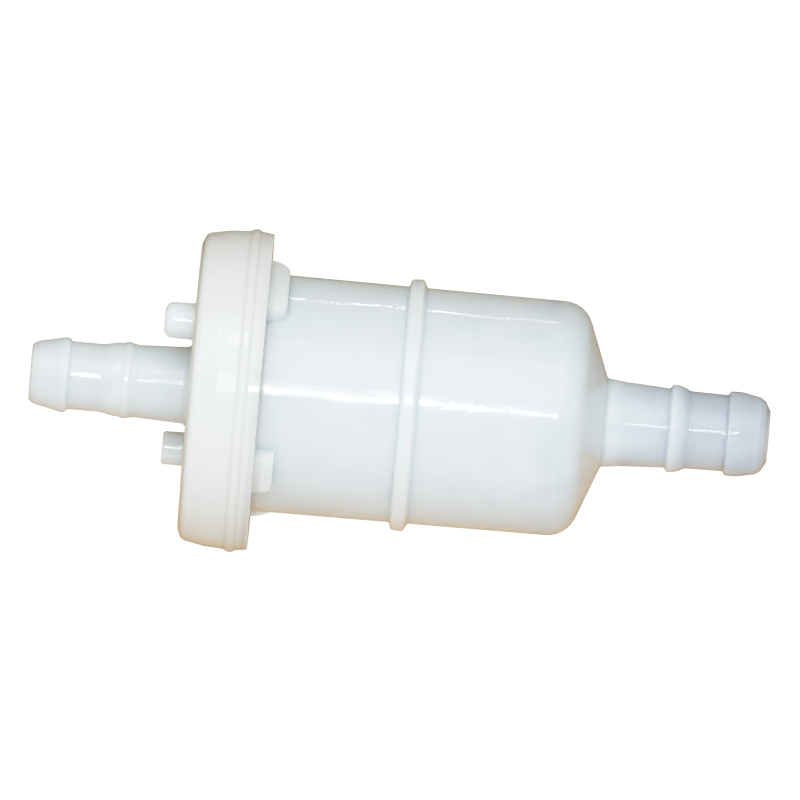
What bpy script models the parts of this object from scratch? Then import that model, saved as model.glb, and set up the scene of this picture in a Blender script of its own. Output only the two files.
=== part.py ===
"""In-line fuel filter for a small engine: a spin-welded nylon case round a pleated paper element.

The filter lies along X. The cap with its outlet stem is at -X, the housing with its inlet stem
at +X. The origin is on the axis, half-way between the two stem ends, and +Z is up.
Fuel enters at +X, passes inwards through the pleats and leaves through the carrier and the cap.
Angles round the axis are taken from -Y, positive towards +Z.
"""

import math
from typing import NamedTuple

import bmesh
import bpy
from mathutils import Matrix, Vector

MM = 0.001


class Stem(NamedTuple):
    """A barbed hose stem. Distances run from its open end towards the case."""

    length: float
    neck: float  # outer radius between the ridges
    wall: float
    tip_land: float  # radial width of the flat end face
    corner_length: float  # rounding of the open end
    corner_drop: float
    barb_at: float
    barb_height: float
    barb_land: float
    ridge_from: float
    ridge_at: float
    ridge_height: float
    ridge_back: float
    shank_gain: float  # how much the stem has grown behind the ridge
    root_gain: float  # and at the case


class Peg(NamedTuple):
    """A round peg on the cap's face."""

    angle: float
    radius: float
    length: float
    rounding: float


class Lug(NamedTuple):
    """A block behind the flange, over part of a turn."""

    angle: float
    width: float


# --- Housing: the bowl with the inlet stem -------------------------------------------------
BODY_RADIUS = 14.9 * MM
BODY_LENGTH = 43.1 * MM  # flange's rear face to the foot of the inlet stem
BODY_DRAFT = 0.2 * MM  # how much the outside narrows by the shoulder
WALL = 2.0 * MM
SHOULDER_RADIUS = 3.8 * MM
END_CONE_ANGLE = math.radians(21)  # slope of the closed end, from square to the axis
STEM_FILLET = 0.9 * MM

RIB_OFFSET = 18.4 * MM  # flange's rear face to the middle of the rib
RIB_WIDTH = 2.7 * MM
RIB_HEIGHT = 0.95 * MM

FLANGE_LIP = 5.1 * MM  # how far the flange stands out from the body
FLANGE_THICKNESS = 1.5 * MM
FLANGE_DRAFT = 0.2 * MM

# Lugs behind the flange stop the housing from turning while the cap is spun.
LUG_LENGTH = 2.5 * MM
LUG_HEIGHT = 2.4 * MM
LUG_TAPER = 1.1 * MM  # how much the lug's outer face drops over its free half
LUG_SHOULDER_DROP = 0.2 * MM  # and over the half next to the flange
LUGS = (
    Lug(math.radians(54), math.radians(42)),
    Lug(math.radians(141.5), math.radians(20)),
    Lug(math.radians(224), math.radians(42)),
    Lug(math.radians(321.5), math.radians(20)),
)

# --- Weld between the two halves -----------------------------------------------------------
BEAD_WIDTH = 1.2 * MM
BEAD_HEIGHT = 0.28 * MM  # how far the squeezed-out bead stands above the flange
WELD_LAND = 2.8 * MM  # radial width of the welded ring

# --- Cap: the cover with the outlet stem ---------------------------------------------------
CAP_DEPTH = 6.2 * MM  # front face to the weld bead
CAP_DRAFT = 0.75 * MM  # how much the side narrows towards the front face
CAP_CORNER = 1.3 * MM
CAP_FACE_THICKNESS = 2.2 * MM
CAP_LEDGE = 2.6 * MM  # radial width of the step that holds the carrier down

# Two pegs on the cap's face take the spin welder's chuck.
PEG_PITCH_RADIUS = 11.3 * MM
PEGS = (
    Peg(math.radians(45), radius=2.3 * MM, length=3.8 * MM, rounding=1.4 * MM),
    Peg(math.radians(225), radius=2.12 * MM, length=2.9 * MM, rounding=0.4 * MM),
)

# --- Hose stems: the outlet takes an 8 mm hose, the inlet a 9.5 mm hose --------------------
OUTLET_STEM = Stem(
    length=20.0 * MM,
    neck=4.25 * MM,
    wall=1.25 * MM,
    tip_land=0.45 * MM,
    corner_length=0.7 * MM,
    corner_drop=0.65 * MM,
    barb_at=3.9 * MM,
    barb_height=0.43 * MM,
    barb_land=0.8 * MM,
    ridge_from=8.9 * MM,
    ridge_at=12.0 * MM,
    ridge_height=0.55 * MM,
    ridge_back=1.2 * MM,
    shank_gain=0.3 * MM,
    root_gain=0.55 * MM,
)
INLET_STEM = Stem(
    length=20.6 * MM,
    neck=4.82 * MM,
    wall=1.82 * MM,
    tip_land=0.4 * MM,
    corner_length=1.2 * MM,
    corner_drop=0.62 * MM,
    barb_at=5.0 * MM,
    barb_height=0.5 * MM,
    barb_land=0.3 * MM,
    ridge_from=10.6 * MM,
    ridge_at=11.9 * MM,
    ridge_height=0.7 * MM,
    ridge_back=0.7 * MM,
    shank_gain=0.14 * MM,
    root_gain=0.76 * MM,
)
STEP_LENGTH = 0.25 * MM  # run of a barb's steep back face
RIDGE_BOW = (0.6, 0.75)  # part-way up a ridge: share of its run, share of its height

# --- Filter element ------------------------------------------------------------------------
ELEMENT_CLEARANCE = 1.8 * MM  # pleat tips to the housing's bore
END_SPACE = 8.6 * MM  # back of the end plate to the foot of the inlet stem
PLATE_THICKNESS = 1.5 * MM
GASKET_THICKNESS = 0.8 * MM
POTTING_THICKNESS = 1.2 * MM
CUP_DEPTH = 2.0 * MM  # rims of the carrier and the end plate, round the potting
CUP_WALL = 0.6 * MM
COLLAR_LENGTH = 3.0 * MM
COLLAR_WALL = 0.8 * MM
DOME_HEIGHT = 2.4 * MM
FIN_COUNT = 4
FIN_THICKNESS = 1.0 * MM
FIN_LENGTH = 2.6 * MM

TUBE_SHARE = 0.45  # outside of the perforated centre tube, as a share of the housing's bore
TUBE_WALL = 0.7 * MM
TUBE_BARS = 6
TUBE_HOOPS = 6
TUBE_BAR_WIDTH = math.radians(24)
TUBE_BAR_INSET = 0.1 * MM  # how far the bars lie inside the hoops' faces
TUBE_HOOP_LENGTH = 1.2 * MM

PLEAT_PITCH = 2.7 * MM  # round the pleats' tips
PAPER_THICKNESS = 0.4 * MM
FOLD_RADIUS = 0.35 * MM  # middle of the paper, round each fold
FOLD_STEPS = 2
CLIP_REACH = 0.45  # share of the pleats' depth that the clip covers
CLIP_THICKNESS = 0.25 * MM

# --- Fits ----------------------------------------------------------------------------------
WELD_LINE = 0.1 * MM  # each side of the bead
SEAT_GAP = 0.3 * MM  # between faces that sit on each other
SLIP_GAP = 0.3 * MM  # round pieces that slide into each other

CASE_STEPS = 48  # facets round the case
INNER_STEPS = 32  # and round what it holds
SMALL_STEPS = 20  # round the pegs and the centre tube
ARC_STEPS = 4
MERGE = 0.001 * MM

# --- Places along X ------------------------------------------------------------------------
OVERALL_LENGTH = (
    OUTLET_STEM.length + CAP_DEPTH + BEAD_WIDTH + FLANGE_THICKNESS + BODY_LENGTH + INLET_STEM.length
)
OUTLET_END = -OVERALL_LENGTH / 2
INLET_END = OVERALL_LENGTH / 2
CAP_FACE = OUTLET_END + OUTLET_STEM.length
CAP_RIM = CAP_FACE + CAP_DEPTH
FLANGE_FRONT = CAP_RIM + BEAD_WIDTH
FLANGE_REAR = FLANGE_FRONT + FLANGE_THICKNESS
INLET_FOOT = FLANGE_REAR + BODY_LENGTH
GASKET_FRONT = FLANGE_FRONT - SEAT_GAP - GASKET_THICKNESS
CARRIER_REAR = GASKET_FRONT - SEAT_GAP
CARRIER_FRONT = CARRIER_REAR - PLATE_THICKNESS
LEDGE = CARRIER_FRONT - SEAT_GAP
END_PLATE_REAR = INLET_FOOT - END_SPACE
END_PLATE_FRONT = END_PLATE_REAR - PLATE_THICKNESS
PAPER_FROM = CARRIER_REAR + POTTING_THICKNESS + 2 * SEAT_GAP
PAPER_TO = END_PLATE_FRONT - POTTING_THICKNESS - 2 * SEAT_GAP

# --- Radii ---------------------------------------------------------------------------------
FLANGE_RADIUS = BODY_RADIUS + FLANGE_LIP
BORE_RADIUS = BODY_RADIUS - WALL
CAP_BORE = FLANGE_RADIUS - WELD_LAND
CARRIER_RADIUS = CAP_BORE - SLIP_GAP
PLEAT_OUTER = BORE_RADIUS - ELEMENT_CLEARANCE
PLEAT_COUNT = round(2 * math.pi * PLEAT_OUTER / PLEAT_PITCH)
CUP_INNER = PLEAT_OUTER + SLIP_GAP
CUP_OUTER = CUP_INNER + CUP_WALL
TUBE_RADIUS = TUBE_SHARE * BORE_RADIUS
TUBE_BORE = TUBE_RADIUS - TUBE_WALL
PLEAT_INNER = TUBE_RADIUS + SLIP_GAP
COLLAR_RADIUS = TUBE_BORE - SLIP_GAP
COLLAR_BORE = COLLAR_RADIUS - COLLAR_WALL
INLET_ROOT = INLET_STEM.neck + INLET_STEM.root_gain
OUTLET_ROOT = OUTLET_STEM.neck + OUTLET_STEM.root_gain

# --- The shoulder's centre, shared by the outside and the inside of the wall ---------------
SHOULDER_R = BODY_RADIUS - BODY_DRAFT - SHOULDER_RADIUS
CONE_TOP = SHOULDER_R + SHOULDER_RADIUS * math.sin(END_CONE_ANGLE)
SHOULDER_X = (
    INLET_FOOT
    - (CONE_TOP - INLET_ROOT) * math.tan(END_CONE_ANGLE)
    - SHOULDER_RADIUS * math.cos(END_CONE_ANGLE)
)


# --- Making things -------------------------------------------------------------------------
def clear_scene():
    """Starts from an empty scene."""
    for thing in list(bpy.data.objects):
        bpy.data.objects.remove(thing, do_unlink=True)


def make_material(name, colour, roughness, metallic=0.0):
    """A plain Principled material in the piece's own colour."""
    material = bpy.data.materials.new(name)
    material.use_nodes = True
    shader = material.node_tree.nodes["Principled BSDF"]
    shader.inputs["Base Color"].default_value = (*colour, 1.0)
    shader.inputs["Roughness"].default_value = roughness
    shader.inputs["Metallic"].default_value = metallic
    return material


def add_object(name, bm, material):
    """Turns a finished bmesh into a smooth-shaded object in the scene."""
    bmesh.ops.recalc_face_normals(bm, faces=bm.faces)
    mesh = bpy.data.meshes.new(name)
    bm.to_mesh(mesh)
    bm.free()
    mesh.shade_smooth()
    mesh.set_sharp_from_angle(angle=math.radians(35))
    thing = bpy.data.objects.new(name, mesh)
    bpy.context.scene.collection.objects.link(thing)
    if material:
        mesh.materials.append(material)
    return thing


def outline_loop(bm, outline):
    """A closed loop of edges through (x, radius) points, in the plane of X and -Y."""
    corners = [bm.verts.new((x, -radius, 0.0)) for x, radius in outline]
    return [bm.edges.new((a, b)) for a, b in zip(corners, corners[1:] + corners[:1])]


def turned_mesh(outline, steps):
    """A closed (x, radius) outline turned once round the X axis."""
    bm = bmesh.new()
    edges = outline_loop(bm, outline)
    bmesh.ops.spin(
        bm,
        geom=list(bm.verts) + edges,
        cent=(0, 0, 0),
        axis=(1, 0, 0),
        angle=2 * math.pi,
        steps=steps,
        use_merge=True,
    )
    bmesh.ops.remove_doubles(bm, verts=bm.verts, dist=MERGE)
    return bm


def turned(name, outline, steps, material):
    return add_object(name, turned_mesh(outline, steps), material)


def ring(x_from, x_to, inner, outer):
    """The outline of a plain ring."""
    return [(x_from, inner), (x_from, outer), (x_to, outer), (x_to, inner)]


def sector_mesh(outline, angle, width):
    """A closed (x, radius) outline swept over part of a turn, centred on an angle."""
    bm = bmesh.new()
    outline_loop(bm, outline)
    face = bm.faces.new(bm.verts)
    bmesh.ops.rotate(
        bm, verts=bm.verts, cent=(0, 0, 0), matrix=Matrix.Rotation(-(angle - width / 2), 3, "X")
    )
    bmesh.ops.spin(
        bm,
        geom=list(bm.verts) + list(bm.edges) + [face],
        cent=(0, 0, 0),
        axis=(-1, 0, 0),
        angle=width,
        steps=max(2, round(CASE_STEPS * width / (2 * math.pi))),
    )
    bmesh.ops.remove_doubles(bm, verts=bm.verts, dist=MERGE)
    return bm


def arc(centre, radii, start, end, steps=ARC_STEPS):
    """Points on an ellipse's arc; centre and radii are (x, radius) pairs, angles in degrees."""
    points = []
    for i in range(steps + 1):
        angle = math.radians(start + (end - start) * i / steps)
        points.append((centre[0] + radii[0] * math.cos(angle), centre[1] + radii[1] * math.sin(angle)))
    return points


def merge_meshes(target, parts):
    """Adds the faces of several bmeshes to one."""
    for part in parts:
        mesh = bpy.data.meshes.new("piece")
        bmesh.ops.recalc_face_normals(part, faces=part.faces)
        part.to_mesh(mesh)
        part.free()
        target.from_mesh(mesh)
        bpy.data.meshes.remove(mesh)
    return target


def join_solid(thing, name, parts):
    """Unites separate closed bodies, kept on a hidden guide object, with a piece."""
    guide = add_object(name, merge_meshes(bmesh.new(), parts), None)
    guide.hide_render = True
    guide.display_type = "WIRE"
    union = thing.modifiers.new(name, "BOOLEAN")
    union.operation = "UNION"
    union.object = guide
    union.solver = "EXACT"


# --- Outlines ------------------------------------------------------------------------------
def stem_outside(stem):
    """(distance from the open end, radius) points along the outside of a barbed hose stem."""
    barb = stem.neck + stem.barb_height
    corner = barb - stem.corner_drop
    tip = stem.neck - stem.wall + stem.tip_land
    barb_end = stem.barb_at + stem.barb_land
    bow_run, bow_height = RIDGE_BOW
    bow = stem.ridge_from + bow_run * (stem.ridge_at - stem.ridge_from)
    points = arc((stem.corner_length, tip), (stem.corner_length, corner - tip), 180, 90)
    points += [(stem.barb_at, barb), (barb_end, barb)]
    points += [(barb_end + STEP_LENGTH, stem.neck), (stem.ridge_from, stem.neck)]
    points += [(bow, stem.neck + bow_height * stem.ridge_height)]
    points += [(stem.ridge_at, stem.neck + stem.ridge_height)]
    points += [(stem.ridge_at + stem.ridge_back, stem.neck + stem.shank_gain)]
    points += [(stem.length - STEM_FILLET, stem.neck + stem.root_gain)]
    return points


def housing_outline():
    """Section of the housing: along its outside from the flange to the inlet stem, back inside."""
    cone = math.degrees(END_CONE_ANGLE)
    shoulder = (SHOULDER_X, SHOULDER_R)
    inner_radius = SHOULDER_RADIUS - WALL
    outside = [
        (FLANGE_FRONT, BORE_RADIUS),
        (FLANGE_FRONT, FLANGE_RADIUS),
        (FLANGE_REAR, FLANGE_RADIUS - FLANGE_DRAFT),
        (FLANGE_REAR, BODY_RADIUS),
    ]
    outside += arc((FLANGE_REAR + RIB_OFFSET, BODY_RADIUS), (RIB_WIDTH / 2, RIB_HEIGHT), 180, 0, 6)
    outside += arc(shoulder, (SHOULDER_RADIUS, SHOULDER_RADIUS), 90, cone)
    outside += [(INLET_FOOT - STEM_FILLET * math.sin(END_CONE_ANGLE), INLET_ROOT + STEM_FILLET)]
    outside += [(INLET_END - d, r) for d, r in reversed(stem_outside(INLET_STEM))]

    bore = INLET_STEM.neck - INLET_STEM.wall
    slope = math.tan(END_CONE_ANGLE)
    cone_x = SHOULDER_X + inner_radius * math.cos(END_CONE_ANGLE)
    cone_r = SHOULDER_R + inner_radius * math.sin(END_CONE_ANGLE)
    inside = [(INLET_END, bore), (cone_x + (cone_r - bore) * slope, bore)]
    inside += arc(shoulder, (inner_radius, inner_radius), cone, 90, 3)
    return outside + inside


def cap_outline():
    """Section of the cap: along the outlet stem, over the face and side, back inside."""
    bore = OUTLET_STEM.neck - OUTLET_STEM.wall
    fillet_centre = (CAP_FACE - STEM_FILLET, OUTLET_ROOT + STEM_FILLET)
    front_radius = FLANGE_RADIUS - CAP_DRAFT
    corner_centre = (CAP_FACE + CAP_CORNER, front_radius - CAP_CORNER)
    side_run = CAP_DEPTH - CAP_CORNER
    outside = [(OUTLET_END + d, r) for d, r in stem_outside(OUTLET_STEM)]
    outside += arc(fillet_centre, (STEM_FILLET, STEM_FILLET), -60, 0, 2)
    outside += arc(corner_centre, (CAP_CORNER, CAP_CORNER), 180, 90)
    # The side swells to its full radius as a quarter of an ellipse.
    outside += arc((CAP_RIM, front_radius), (-side_run, CAP_DRAFT), 0, 90, 3)[1:]
    inside = [
        (CAP_RIM, CAP_BORE),
        (LEDGE, CAP_BORE),
        (LEDGE, CAP_BORE - CAP_LEDGE),
        (CAP_FACE + CAP_FACE_THICKNESS, CAP_BORE - CAP_LEDGE),
        (CAP_FACE + CAP_FACE_THICKNESS, bore),
        (OUTLET_END, bore),
    ]
    return outside + inside


# --- The case ------------------------------------------------------------------------------
def make_housing(material):
    """The bowl: flange, long body with its rib, closed end and inlet stem, and four lugs."""
    housing = turned("housing", housing_outline(), CASE_STEPS, material)
    inner = BODY_RADIUS - WALL / 2
    outer = BODY_RADIUS + LUG_HEIGHT
    section = [
        (FLANGE_REAR - FLANGE_THICKNESS / 2, inner),
        (FLANGE_REAR + LUG_LENGTH, inner),
        (FLANGE_REAR + LUG_LENGTH, outer - LUG_TAPER),
        (FLANGE_REAR + LUG_LENGTH / 2, outer - LUG_SHOULDER_DROP),
        (FLANGE_REAR - FLANGE_THICKNESS / 2, outer),
    ]
    join_solid(housing, "lugs", [sector_mesh(section, lug.angle, lug.width) for lug in LUGS])
    return housing


def peg_mesh(peg):
    """A round peg with a rounded end, rooted inside the cap's face."""
    root = CAP_FACE + CAP_FACE_THICKNESS / 2
    tip = CAP_FACE - peg.length
    outline = [(root, 0.0), (tip, 0.0)]
    outline += arc(
        (tip + peg.rounding, peg.radius - peg.rounding), (peg.rounding, peg.rounding), 180, 90
    )
    outline += [(root, peg.radius)]
    bm = turned_mesh(outline, SMALL_STEPS)
    offset = Vector((0, -math.cos(peg.angle), math.sin(peg.angle))) * PEG_PITCH_RADIUS
    bmesh.ops.translate(bm, verts=bm.verts, vec=offset)
    return bm


def make_cap(material):
    """The cover: outlet stem, round-edged face with the two pegs, and the rim that is welded."""
    cap = turned("cap", cap_outline(), CASE_STEPS, material)
    join_solid(cap, "drive_pegs", [peg_mesh(peg) for peg in PEGS])
    return cap


def make_weld_bead(material):
    """The ring of melted nylon between the cap's rim and the housing's flange."""
    left = CAP_RIM + WELD_LINE
    right = FLANGE_FRONT - WELD_LINE
    half = (right - left) / 2
    outline = [(right, CAP_BORE), (left, CAP_BORE)]
    outline += arc((left + half, FLANGE_RADIUS), (half, BEAD_HEIGHT), 180, 0)
    return turned("weld_bead", outline, CASE_STEPS, material)


# --- The element ---------------------------------------------------------------------------
def make_gasket(material):
    """Flat ring that seals the carrier against the housing's flange."""
    inner = BORE_RADIUS + SLIP_GAP
    outline = ring(GASKET_FRONT, GASKET_FRONT + GASKET_THICKNESS, inner, CARRIER_RADIUS)
    return turned("carrier_gasket", outline, INNER_STEPS, material)


def make_carrier(material):
    """The plate clamped under the cap, with a cup for the potting and a collar in the tube."""
    outline = [
        (CARRIER_FRONT, COLLAR_BORE),
        (CARRIER_FRONT, CARRIER_RADIUS),
        (CARRIER_REAR, CARRIER_RADIUS),
        (CARRIER_REAR, CUP_OUTER),
        (CARRIER_REAR + CUP_DEPTH, CUP_OUTER),
        (CARRIER_REAR + CUP_DEPTH, CUP_INNER),
        (CARRIER_REAR, CUP_INNER),
        (CARRIER_REAR, COLLAR_RADIUS),
        (CARRIER_REAR + COLLAR_LENGTH, COLLAR_RADIUS),
        (CARRIER_REAR + COLLAR_LENGTH, COLLAR_BORE),
    ]
    return turned("element_carrier", outline, INNER_STEPS, material)


def fin_mesh(angle, inner, outer):
    """A flat fin that stands out from the end plate to the housing's bore."""
    bm = bmesh.new()
    bmesh.ops.create_cube(bm, size=1.0)
    bmesh.ops.scale(bm, verts=bm.verts, vec=(FIN_LENGTH, outer - inner, FIN_THICKNESS))
    place = (END_PLATE_REAR - SEAT_GAP - FIN_LENGTH / 2, -(outer + inner) / 2, 0)
    bmesh.ops.translate(bm, verts=bm.verts, vec=place)
    turn = Matrix.Rotation(-angle, 3, "X")
    bmesh.ops.rotate(bm, verts=bm.verts, cent=(0, 0, 0), matrix=turn)
    return bm


def make_end_plate(material):
    """The closed end of the element, domed towards the inlet, with fins that centre it."""
    outline = arc((END_PLATE_REAR, 0.0), (DOME_HEIGHT, PLEAT_INNER), 90, 0)
    outline += [
        (END_PLATE_FRONT - COLLAR_LENGTH, 0.0),
        (END_PLATE_FRONT - COLLAR_LENGTH, COLLAR_RADIUS),
        (END_PLATE_FRONT, COLLAR_RADIUS),
        (END_PLATE_FRONT, CUP_INNER),
        (END_PLATE_FRONT - CUP_DEPTH, CUP_INNER),
        (END_PLATE_FRONT - CUP_DEPTH, CUP_OUTER),
        (END_PLATE_REAR, CUP_OUTER),
    ]
    plate = turned("end_plate", outline, INNER_STEPS, material)
    inner = CUP_INNER + CUP_WALL / 2
    outer = BORE_RADIUS - BODY_DRAFT - SLIP_GAP
    angles = [2 * math.pi * (i + 0.5) / FIN_COUNT for i in range(FIN_COUNT)]
    join_solid(plate, "fins", [fin_mesh(angle, inner, outer) for angle in angles])
    return plate


def make_potting(name, start, material):
    """A ring of adhesive that closes the ends of the pleats."""
    outline = ring(start, start + POTTING_THICKNESS, PLEAT_INNER, PLEAT_OUTER)
    return turned(name, outline, INNER_STEPS, material)


def pleat_path():
    """Points and normals along the middle of the paper, once round the star."""
    half = PAPER_THICKNESS / 2
    outer = PLEAT_OUTER - half - FOLD_RADIUS
    inner = PLEAT_INNER + half + FOLD_RADIUS
    folds = 2 * PLEAT_COUNT
    centres = []
    for k in range(folds):
        angle = 2 * math.pi * k / folds
        radius = inner if k % 2 else outer
        centres.append(Vector((math.cos(angle), math.sin(angle))) * radius)
    headings = []
    for k, centre in enumerate(centres):
        step = centres[(k + 1) % folds] - centre
        lean = math.asin(2 * FOLD_RADIUS / step.length)
        towards = math.atan2(step.y, step.x)
        headings.append(towards + (-lean if k % 2 else lean))
    path = []
    for k, centre in enumerate(centres):
        side = -1 if k % 2 else 1
        start, end = headings[k - 1], headings[k]
        swing = (end - start) * side % (2 * math.pi) * side
        for i in range(FOLD_STEPS + 1):
            heading = start + swing * i / FOLD_STEPS
            normal = Vector((math.sin(heading), -math.cos(heading)))
            path.append((centre + normal * FOLD_RADIUS * side, normal))
    return path


def make_paper(material):
    """The folded paper: one closed star-shaped wall, as long as the space between the plates."""
    bm = bmesh.new()
    half = PAPER_THICKNESS / 2
    rings = []
    for x, offset in ((PAPER_FROM, half), (PAPER_TO, half), (PAPER_TO, -half), (PAPER_FROM, -half)):
        ring = []
        for point, normal in pleat_path():
            y, z = point + normal * offset
            ring.append(bm.verts.new((x, y, z)))
        rings.append(ring)
    for a, b in zip(rings, rings[1:] + rings[:1]):
        for i in range(len(a)):
            j = (i + 1) % len(a)
            bm.faces.new((a[i], a[j], b[j], b[i]))
    return add_object("pleated_paper", bm, material)


def make_seam_clip(material):
    """The folded metal strip that holds the two ends of the paper together, over one fold."""
    grip = FOLD_RADIUS + PAPER_THICKNESS / 2 + SEAT_GAP
    outside = grip + CLIP_THICKNESS
    crown = PLEAT_OUTER - FOLD_RADIUS - PAPER_THICKNESS / 2
    bottom = crown - CLIP_REACH * (PLEAT_OUTER - PLEAT_INNER)
    section = [(bottom, outside), *arc((crown, 0.0), (outside, outside), 90, -90), (bottom, -outside)]
    section += [(bottom, -grip), *arc((crown, 0.0), (grip, grip), -90, 90), (bottom, grip)]
    start = CARRIER_REAR + CUP_DEPTH + SLIP_GAP
    end = END_PLATE_FRONT - CUP_DEPTH - SLIP_GAP
    bm = bmesh.new()
    face = bm.faces.new([bm.verts.new((start, y, z)) for y, z in section])
    grown = bmesh.ops.extrude_face_region(bm, geom=[face])
    moved = [item for item in grown["geom"] if isinstance(item, bmesh.types.BMVert)]
    bmesh.ops.translate(bm, verts=moved, vec=(end - start, 0, 0))
    return add_object("seam_clip", bm, material)


def make_centre_tube(material):
    """The perforated tube that holds the pleats apart: long bars through a row of hoops."""
    start = CARRIER_REAR + SEAT_GAP
    end = END_PLATE_FRONT - SEAT_GAP
    pitch = (end - start - TUBE_HOOP_LENGTH) / (TUBE_HOOPS - 1)
    hoops = []
    for i in range(TUBE_HOOPS):
        x = start + i * pitch
        outline = ring(x, x + TUBE_HOOP_LENGTH, TUBE_BORE, TUBE_RADIUS)
        hoops.append(turned_mesh(outline, SMALL_STEPS))
    section = ring(
        start + TUBE_BAR_INSET,
        end - TUBE_BAR_INSET,
        TUBE_BORE + TUBE_BAR_INSET,
        TUBE_RADIUS - TUBE_BAR_INSET,
    )
    turns = [2 * math.pi * i / TUBE_BARS for i in range(TUBE_BARS)]
    tube = add_object("centre_tube", hoops.pop(0), material)
    join_solid(tube, "bars", [sector_mesh(section, turn, TUBE_BAR_WIDTH) for turn in turns])
    join_solid(tube, "hoops", hoops)
    return tube


def main():
    clear_scene()
    nylon_body = make_material("natural_nylon_body", (0.80, 0.85, 0.88), 0.3)
    nylon_cap = make_material("natural_nylon_cap", (0.84, 0.85, 0.81), 0.35)
    nylon_melt = make_material("nylon_weld", (0.88, 0.87, 0.80), 0.3)
    acetal = make_material("white_acetal", (0.86, 0.85, 0.80), 0.4)
    paper = make_material("filter_paper", (0.82, 0.68, 0.38), 0.9)
    rubber = make_material("nitrile_rubber", (0.03, 0.03, 0.03), 0.6)
    glue = make_material("potting_resin", (0.75, 0.55, 0.28), 0.35)
    tinplate = make_material("tinplate", (0.75, 0.76, 0.77), 0.3, 1.0)

    make_housing(nylon_body)
    make_cap(nylon_cap)
    make_weld_bead(nylon_melt)
    make_gasket(rubber)
    make_carrier(acetal)
    make_end_plate(acetal)
    make_potting("outlet_potting", CARRIER_REAR + SEAT_GAP, glue)
    make_potting("inlet_potting", END_PLATE_FRONT - SEAT_GAP - POTTING_THICKNESS, glue)
    make_paper(paper)
    make_seam_clip(tinplate)
    make_centre_tube(acetal)


main()
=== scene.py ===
"""In-line fuel filter: the finished surfaces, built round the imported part, and a small studio.

The filter lies along X: outlet stem and cap at -X, housing and inlet stem at +X. Angles round
the axis are taken from -Y, positive towards +Z.
"""

import math

import bmesh
import bpy
from bpy.props import FloatProperty, FloatVectorProperty, IntProperty, PointerProperty
from mathutils import Matrix, Vector


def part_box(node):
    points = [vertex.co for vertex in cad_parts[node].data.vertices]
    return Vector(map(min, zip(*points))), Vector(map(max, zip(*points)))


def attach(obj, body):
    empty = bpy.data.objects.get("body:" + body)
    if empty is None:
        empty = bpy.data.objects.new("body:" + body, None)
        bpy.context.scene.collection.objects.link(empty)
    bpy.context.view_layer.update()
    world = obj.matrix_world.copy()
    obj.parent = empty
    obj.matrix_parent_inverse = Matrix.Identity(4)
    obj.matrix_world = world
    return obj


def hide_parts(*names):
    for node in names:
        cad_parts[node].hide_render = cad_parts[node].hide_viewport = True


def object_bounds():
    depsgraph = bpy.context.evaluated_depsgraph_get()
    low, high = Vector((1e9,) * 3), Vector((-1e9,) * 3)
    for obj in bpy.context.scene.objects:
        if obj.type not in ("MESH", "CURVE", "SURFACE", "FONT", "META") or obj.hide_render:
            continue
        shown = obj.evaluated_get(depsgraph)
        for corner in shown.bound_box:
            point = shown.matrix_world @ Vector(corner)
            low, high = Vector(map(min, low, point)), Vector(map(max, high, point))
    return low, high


bl_info = {
    "name": "In-line fuel filter",
    "version": (1, 0, 0),
    "blender": (4, 5, 0),
    "location": "3D View > Sidebar > Fuel filter",
    "description": "Builds a spin-welded nylon fuel filter piece by piece, and a studio for it",
    "category": "Object",
}

MM = 0.001

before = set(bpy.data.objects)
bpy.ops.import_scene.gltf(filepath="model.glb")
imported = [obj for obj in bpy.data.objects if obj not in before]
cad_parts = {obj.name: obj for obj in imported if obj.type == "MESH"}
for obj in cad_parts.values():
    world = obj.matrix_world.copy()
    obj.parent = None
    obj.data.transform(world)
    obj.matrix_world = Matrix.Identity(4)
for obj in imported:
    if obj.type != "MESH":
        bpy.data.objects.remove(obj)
CAD_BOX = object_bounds()
CAP_LOW, CAP_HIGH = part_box("cap")
HOUSING_LOW, HOUSING_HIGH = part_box("housing")
BEAD_LOW, BEAD_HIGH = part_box("weld_bead")

# --- Places, in millimetres, from the frame --------------------------------------------------
OUTLET_STEM_LENGTH = 20.0
INLET_STEM_LENGTH = 20.6
FLANGE_THICKNESS = 1.5
OUTLET_END = CAP_LOW.x / MM
INLET_END = HOUSING_HIGH.x / MM
CAP_FACE = OUTLET_END + OUTLET_STEM_LENGTH
CAP_RIM = CAP_HIGH.x / MM
FLANGE_FRONT = HOUSING_LOW.x / MM
FLANGE_REAR = FLANGE_FRONT + FLANGE_THICKNESS
INLET_FOOT = INLET_END - INLET_STEM_LENGTH
FLANGE_RADIUS = HOUSING_HIGH.z / MM
BEAD_RADIUS = BEAD_HIGH.z / MM
BEAD_START = BEAD_LOW.x / MM
BEAD_END = BEAD_HIGH.x / MM
PAPER_LOW, PAPER_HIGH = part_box("pleated_paper")
TUBE_LOW, TUBE_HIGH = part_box("centre_tube")
FLOOR_HEIGHT = CAD_BOX[0][2]


def srgb(code):
    """Linear red, green and blue from an sRGB hex code."""
    parts = [int(code[i : i + 2], 16) / 255 for i in (1, 3, 5)]
    return tuple(p / 12.92 if p <= 0.04045 else ((p + 0.055) / 1.055) ** 2.4 for p in parts)


def length_property(name, description, millimetres):
    return FloatProperty(
        name=name, description=description, default=millimetres * MM, unit="LENGTH", precision=5
    )


def angle_property(name, description, degrees):
    return FloatProperty(
        name=name, description=description, default=math.radians(degrees), unit="ROTATION"
    )


def colour_property(name, description, code):
    return FloatVectorProperty(
        name=name, description=description, default=srgb(code), subtype="COLOR", min=0, max=1
    )


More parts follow.
